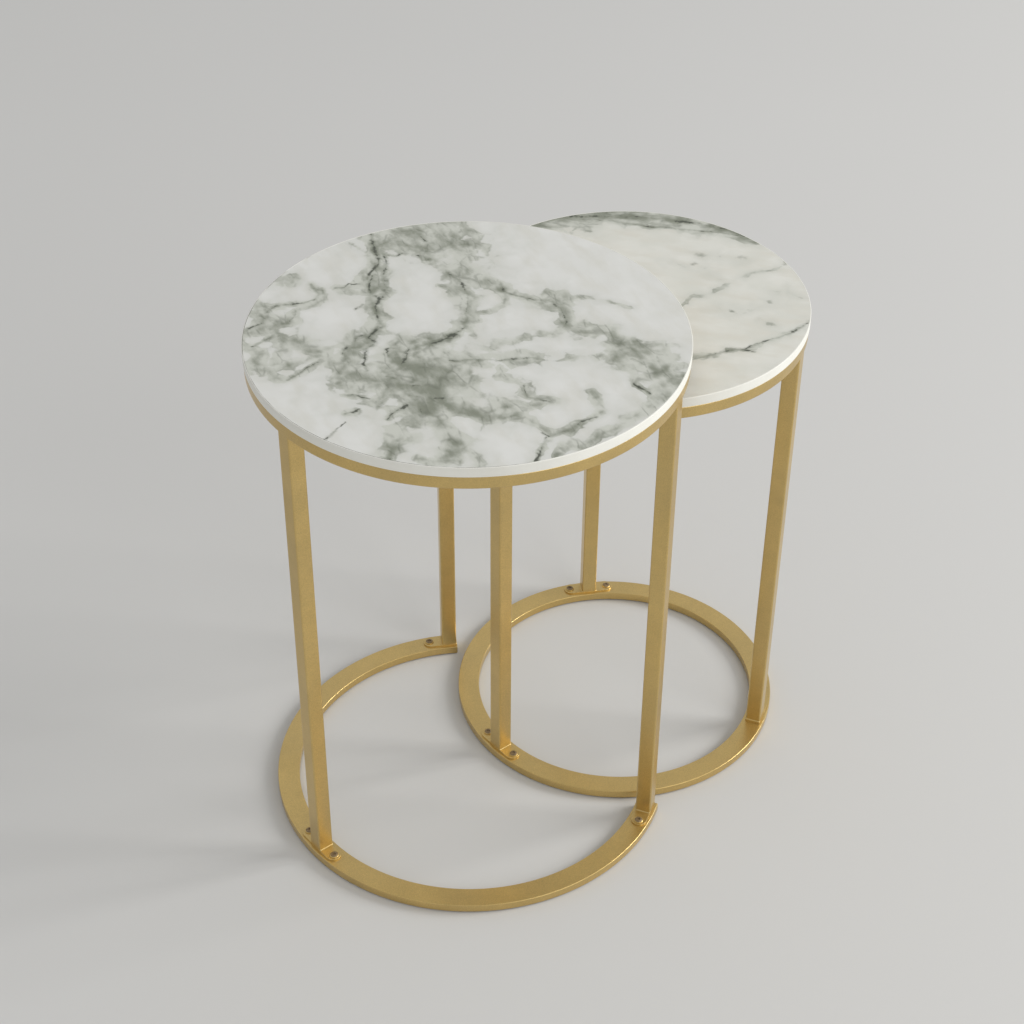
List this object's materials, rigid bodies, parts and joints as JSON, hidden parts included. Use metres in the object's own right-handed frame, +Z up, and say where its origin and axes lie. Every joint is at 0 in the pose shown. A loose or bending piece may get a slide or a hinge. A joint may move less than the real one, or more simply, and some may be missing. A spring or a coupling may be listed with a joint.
{
  "type": "nesting side tables",
  "caption": "Round nesting side tables with marble-pattern stone slabs on slim gold metal frames; the smaller one slides out through the larger one's open base.",
  "frame": {"origin": "on the floor, under the middle of the pair's bounding box", "axes": "+X the way the small table slides out, +Z up, +Y to the left of someone who looks along +X"},
  "size_m": [0.6429, 0.455, 0.606],
  "materials": {
    "stone_large": "satin sintered stone with a grey-green marble pattern, the body creamy white",
    "stone_small": "satin sintered stone with a grey-green marble pattern, the body creamy white",
    "gold_frame": "satin gold metallic coating",
    "screw_steel": "bronze-grey plated steel",
    "felt": "pressed black felt"
  },
  "bodies": {
    "large_table": {"large_tabletop": "stone_large", "large_top_ring": "gold_frame", "large_leg_back": "gold_frame", "large_leg_left": "gold_frame", "large_leg_right": "gold_frame", "large_leg_plates": "gold_frame", "large_base_ring": "gold_frame", "large_base_screws": "screw_steel", "large_base_pads": "felt"},
    "small_table": {"small_tabletop": "stone_small", "small_top_ring": "gold_frame", "small_leg_back": "gold_frame", "small_leg_left": "gold_frame", "small_leg_right": "gold_frame", "small_leg_plates": "gold_frame", "small_base_ring": "gold_frame", "small_base_screws": "screw_steel", "small_base_pads": "felt"}
  },
  "joints": [
    {"name": "small_table_slide", "type": "slide", "parent": "large_table", "child": "small_table", "axis": [1, 0, 0], "range_m": [-0.023, 0.22]}
  ]
}
